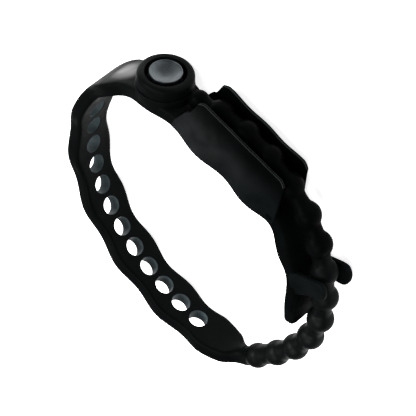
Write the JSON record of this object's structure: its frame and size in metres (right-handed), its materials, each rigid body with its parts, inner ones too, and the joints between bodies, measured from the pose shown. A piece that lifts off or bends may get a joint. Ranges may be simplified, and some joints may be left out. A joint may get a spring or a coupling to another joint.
{
  "type": "esd wrist strap",
  "caption": "Conductive moulded wrist strap with a perforated scalloped band, beaded adjusting tail held in a two-leaf channel and a forked yoke, and a metal snap stud.",
  "frame": {"origin": "Centre of the strap's footprint as it lies on its rim, on the surface below", "axes": "+Z along the axis of the loop (the wearer's forearm), +Y from the opening towards the bead channel, +X along the channel, away from the snap"},
  "size_m": [0.0735, 0.0674, 0.0128],
  "materials": {
    "moulded_band": "satin",
    "moulded_leaf": "satin",
    "moulded_tail": "satin",
    "snap_housing": "satin",
    "snap_metal": "brushed",
    "skin_plate": "brushed"
  },
  "bodies": {
    "root": {"clasp_strip": "moulded_band", "bead_rail": "moulded_band", "band_lead": "moulded_band", "snap_flange": "snap_housing", "snap_collar": "snap_housing", "snap_stud": "snap_metal", "snap_post": "snap_metal", "snap_back_plate": "skin_plate"},
    "front_leaf": {"front_leaf": "moulded_leaf"},
    "rear_leaf": {"rear_leaf": "moulded_leaf"},
    "yoke": {"yoke_strip": "moulded_band"},
    "front_prong": {"front_prong": "moulded_leaf"},
    "rear_prong": {"rear_prong": "moulded_leaf"},
    "link_1": {"band_link_1": "moulded_band"},
    "link_2": {"band_link_2": "moulded_band"},
    "link_3": {"band_link_3": "moulded_band"},
    "link_4": {"band_link_4": "moulded_band"},
    "taper": {"tail_taper": "moulded_band"},
    "tail_pair_1": {"bead_01": "moulded_tail", "bead_02": "moulded_tail"},
    "tail_pair_2": {"bead_03": "moulded_tail", "bead_04": "moulded_tail"},
    "tail_pair_3": {"bead_05": "moulded_tail", "bead_06": "moulded_tail"},
    "tail_pair_4": {"bead_07": "moulded_tail", "bead_08": "moulded_tail"},
    "tail_pair_5": {"bead_09": "moulded_tail", "bead_10": "moulded_tail"},
    "tail_pair_6": {"bead_11": "moulded_tail", "bead_12": "moulded_tail"},
    "tail_pair_7": {"bead_13": "moulded_tail", "tip_bead": "moulded_tail"}
  },
  "joints": [
    {"name": "front_leaf_fold", "type": "hinge", "parent": "root", "child": "front_leaf", "pos_m": [-0.00056, 0.02445, 0.0107], "axis": [1, 0, 0], "range_deg": [0, 45], "stiffness_Nm_per_rad": 0.002, "springref_deg": -2.86},
    {"name": "rear_leaf_fold", "type": "hinge", "parent": "root", "child": "rear_leaf", "pos_m": [-0.00056, 0.02445, 0.0021], "axis": [-1, 0, 0], "range_deg": [0, 45], "stiffness_Nm_per_rad": 0.002, "springref_deg": -2.86},
    {"name": "yoke_flex", "type": "hinge", "parent": "root", "child": "yoke", "pos_m": [0.01799, 0.01933, 0.0064], "axis": [0, 0, -1], "range_deg": [0, 12], "stiffness_Nm_per_rad": 0.002, "springref_deg": -2.86},
    {"name": "front_prong_spread", "type": "hinge", "parent": "yoke", "child": "front_prong", "pos_m": [0.02653, 0.0126, 0.01045], "axis": [0.5379, -0.843, 0], "range_deg": [0, 35], "stiffness_Nm_per_rad": 0.002, "springref_deg": -2.86},
    {"name": "rear_prong_spread", "type": "hinge", "parent": "yoke", "child": "rear_prong", "pos_m": [0.02653, 0.0126, 0.00235], "axis": [-0.5379, 0.843, 0], "range_deg": [0, 35], "stiffness_Nm_per_rad": 0.002, "springref_deg": -2.86},
    {"name": "strap_open", "type": "hinge", "parent": "root", "child": "link_1", "pos_m": [-0.03516, 0.0021, 0.0064], "axis": [0, 0, -1], "range_deg": [0, 10.8], "stiffness_Nm_per_rad": 0.002, "springref_deg": -2.86},
    {"name": "band_flex_2", "type": "hinge", "parent": "link_1", "child": "link_2", "pos_m": [-0.0304, -0.01401, 0.0064], "axis": [0, 0, -1], "range_deg": [0, 11]},
    {"name": "band_flex_3", "type": "hinge", "parent": "link_2", "child": "link_3", "pos_m": [-0.01843, -0.02572, 0.0064], "axis": [0, 0, -1], "range_deg": [0, 11]},
    {"name": "band_flex_4", "type": "hinge", "parent": "link_3", "child": "link_4", "pos_m": [-0.00275, -0.03131, 0.0064], "axis": [0, 0, -1], "range_deg": [0, 11]},
    {"name": "band_flex_5", "type": "hinge", "parent": "link_4", "child": "taper", "pos_m": [0.01387, -0.03113, 0.0064], "axis": [0, 0, -1], "range_deg": [0, 11]},
    {"name": "tail_flex_1", "type": "hinge", "parent": "taper", "child": "tail_pair_1", "pos_m": [0.02505, -0.0265, 0.0064], "axis": [0, 0, -1], "range_deg": [0, 18.4]},
    {"name": "tail_flex_2", "type": "hinge", "parent": "tail_pair_1", "child": "tail_pair_2", "pos_m": [0.0312, -0.01395, 0.0064], "axis": [0, 0, -1], "range_deg": [0, 18.4]},
    {"name": "tail_flex_3", "type": "hinge", "parent": "tail_pair_2", "child": "tail_pair_3", "pos_m": [0.03346, -0.00029, 0.0064], "axis": [0, 0, -1], "range_deg": [0, 18.4]},
    {"name": "tail_flex_4", "type": "hinge", "parent": "tail_pair_3", "child": "tail_pair_4", "pos_m": [0.02972, 0.01305, 0.0064], "axis": [0, 0, -1], "range_deg": [0, 18.4]},
    {"name": "tail_flex_5", "type": "hinge", "parent": "tail_pair_4", "child": "tail_pair_5", "pos_m": [0.0211, 0.02389, 0.0064], "axis": [0, 0, -1], "range_deg": [0, 18.4]},
    {"name": "tail_flex_6", "type": "hinge", "parent": "tail_pair_5", "child": "tail_pair_6", "pos_m": [0.00858, 0.02972, 0.0064], "axis": [0, 0, -1], "range_deg": [0, 18.4]},
    {"name": "tail_flex_7", "type": "hinge", "parent": "tail_pair_6", "child": "tail_pair_7", "pos_m": [-0.00527, 0.03015, 0.0064], "axis": [0, 0, -1], "range_deg": [0, 18.4]}
  ],
  "couplings": [
    {"joint": "band_flex_2", "follows": "strap_open", "ratio": 1},
    {"joint": "band_flex_3", "follows": "strap_open", "ratio": 1},
    {"joint": "band_flex_4", "follows": "strap_open", "ratio": 1},
    {"joint": "band_flex_5", "follows": "strap_open", "ratio": 1},
    {"joint": "tail_flex_1", "follows": "strap_open", "ratio": 1.6667},
    {"joint": "tail_flex_2", "follows": "strap_open", "ratio": 1.6667},
    {"joint": "tail_flex_3", "follows": "strap_open", "ratio": 1.6667},
    {"joint": "tail_flex_4", "follows": "strap_open", "ratio": 1.6667},
    {"joint": "tail_flex_5", "follows": "strap_open", "ratio": 1.6667},
    {"joint": "tail_flex_6", "follows": "strap_open", "ratio": 1.6667},
    {"joint": "tail_flex_7", "follows": "strap_open", "ratio": 1.6667}
  ]
}
